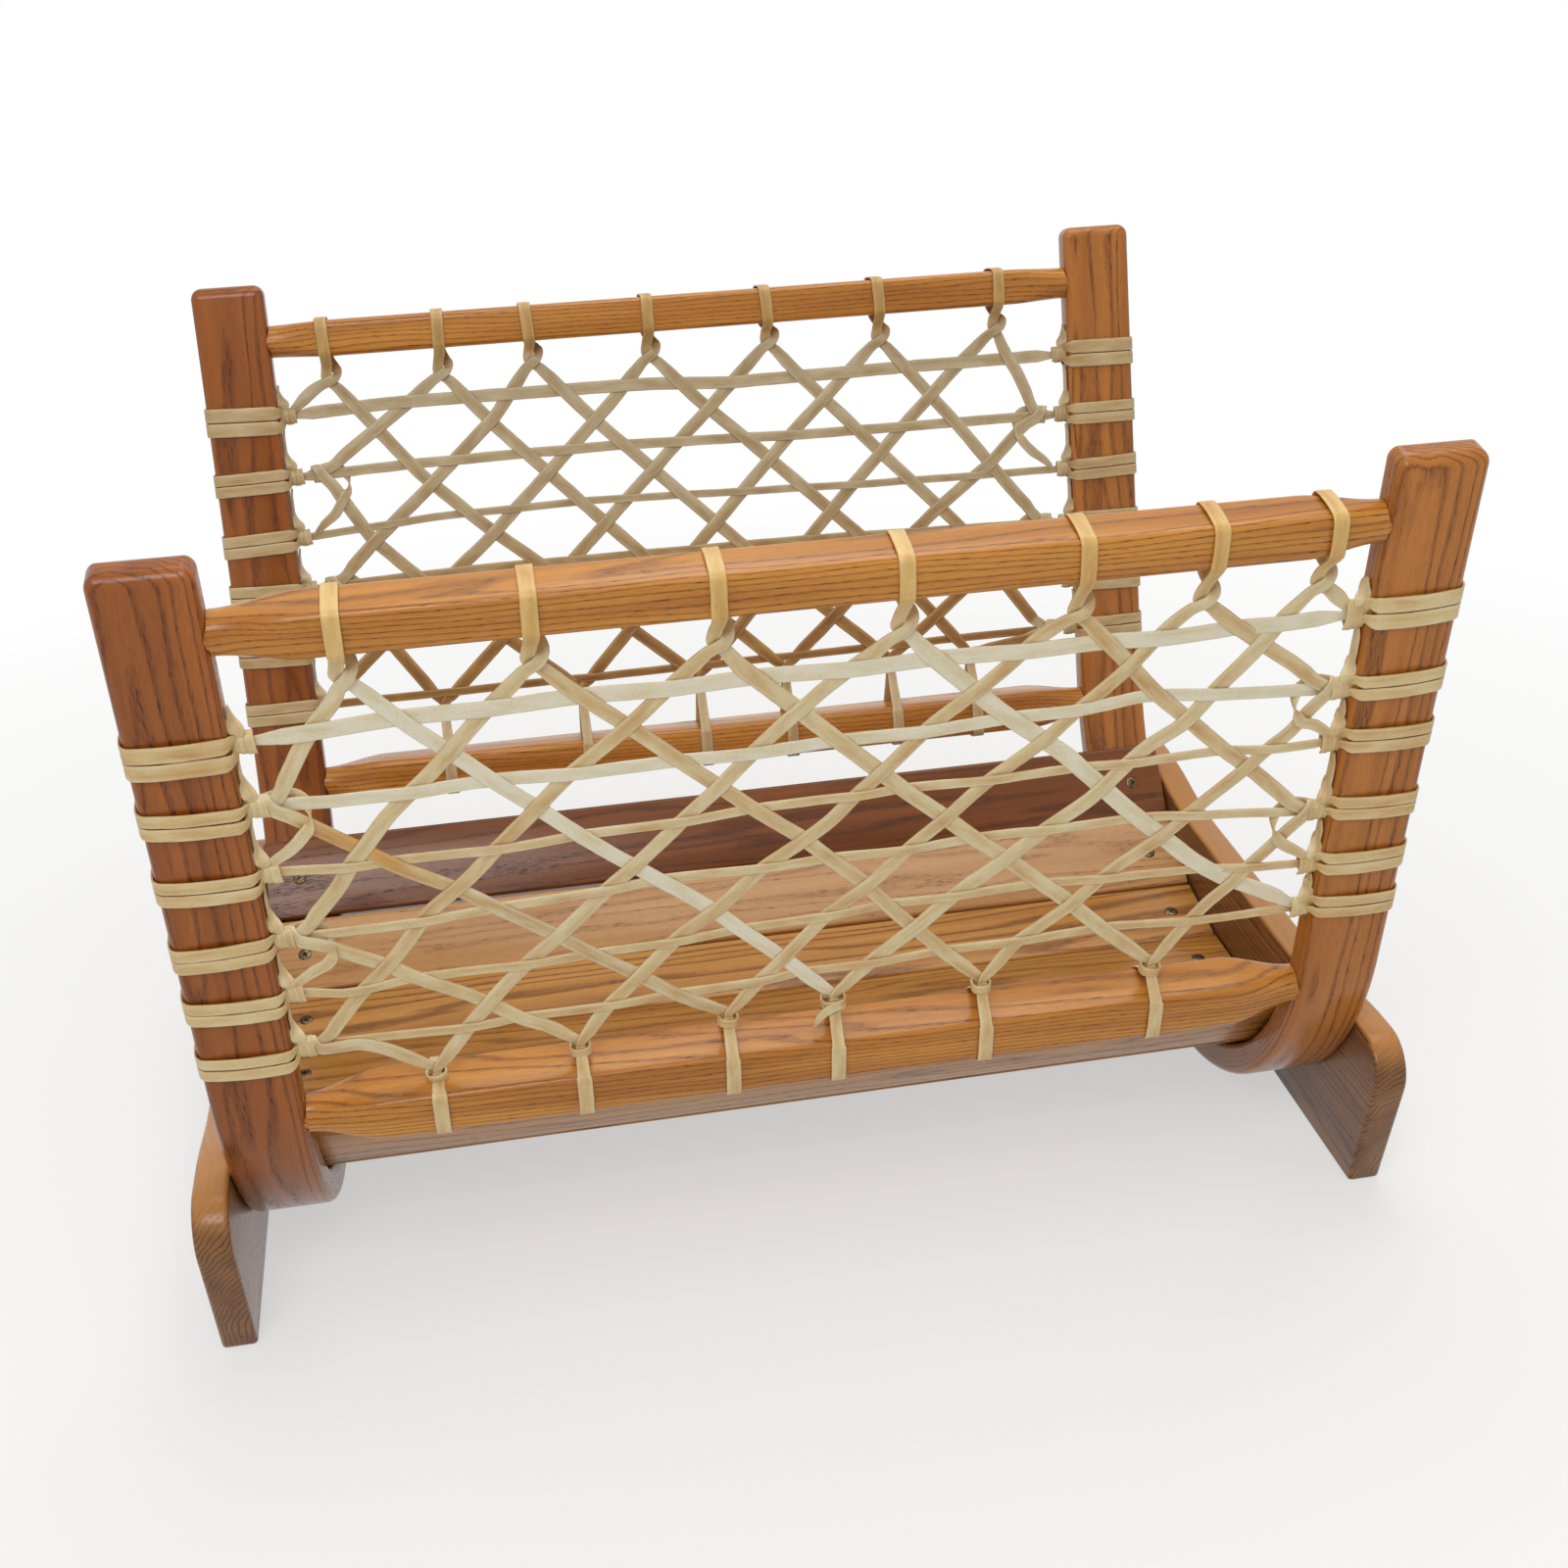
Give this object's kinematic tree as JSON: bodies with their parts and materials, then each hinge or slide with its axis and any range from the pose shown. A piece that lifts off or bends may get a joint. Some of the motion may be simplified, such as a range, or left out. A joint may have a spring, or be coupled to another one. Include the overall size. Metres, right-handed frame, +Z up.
{
  "type": "woven log holder",
  "caption": "Open hearth cradle for firewood: bent wooden U frames, slatted floor, rails and a woven rawhide lacing at the front and the rear.",
  "frame": {"origin": "middle of the footprint, on the floor under the end boards", "axes": "+X along the rails, the holder's length; +Y to the rear; +Z up"},
  "size_m": [0.7454, 0.6232, 0.5289],
  "materials": {
    "frame_wood": "varnished oak, honey brown",
    "board_wood": "varnished oak, dark honey brown",
    "rail_wood": "varnished oak, honey brown",
    "slat_wood": "varnished oak, golden brown",
    "screw_metal": "antique bronze",
    "rawhide": "untanned rawhide, waxy cream to tan"
  },
  "bodies": {
    "root": {"left_u_frame": "frame_wood", "right_u_frame": "frame_wood", "left_end_board": "board_wood", "right_end_board": "board_wood", "front_top_rail": "rail_wood", "rear_top_rail": "rail_wood", "front_lower_rail": "rail_wood", "rear_lower_rail": "rail_wood", "floor_slat_1": "slat_wood", "floor_slat_2": "slat_wood", "floor_slat_3": "slat_wood", "floor_slat_4": "slat_wood", "floor_slat_5": "slat_wood", "floor_slat_6": "slat_wood", "floor_slat_7": "slat_wood", "left_slat_screw_1": "screw_metal", "left_slat_screw_2": "screw_metal", "left_slat_screw_3": "screw_metal", "left_slat_screw_4": "screw_metal", "left_slat_screw_5": "screw_metal", "left_slat_screw_6": "screw_metal", "left_slat_screw_7": "screw_metal", "right_slat_screw_1": "screw_metal", "right_slat_screw_2": "screw_metal", "right_slat_screw_3": "screw_metal", "right_slat_screw_4": "screw_metal", "right_slat_screw_5": "screw_metal", "right_slat_screw_6": "screw_metal", "right_slat_screw_7": "screw_metal", "left_board_screw_1": "screw_metal", "left_board_screw_2": "screw_metal", "left_board_screw_3": "screw_metal", "left_board_screw_4": "screw_metal", "right_board_screw_1": "screw_metal", "right_board_screw_2": "screw_metal", "right_board_screw_3": "screw_metal", "right_board_screw_4": "screw_metal", "front_lacing": "rawhide", "rear_lacing": "rawhide", "front_left_post_lacing": "rawhide", "front_right_post_lacing": "rawhide", "rear_left_post_lacing": "rawhide", "rear_right_post_lacing": "rawhide"}
  },
  "joints": []
}
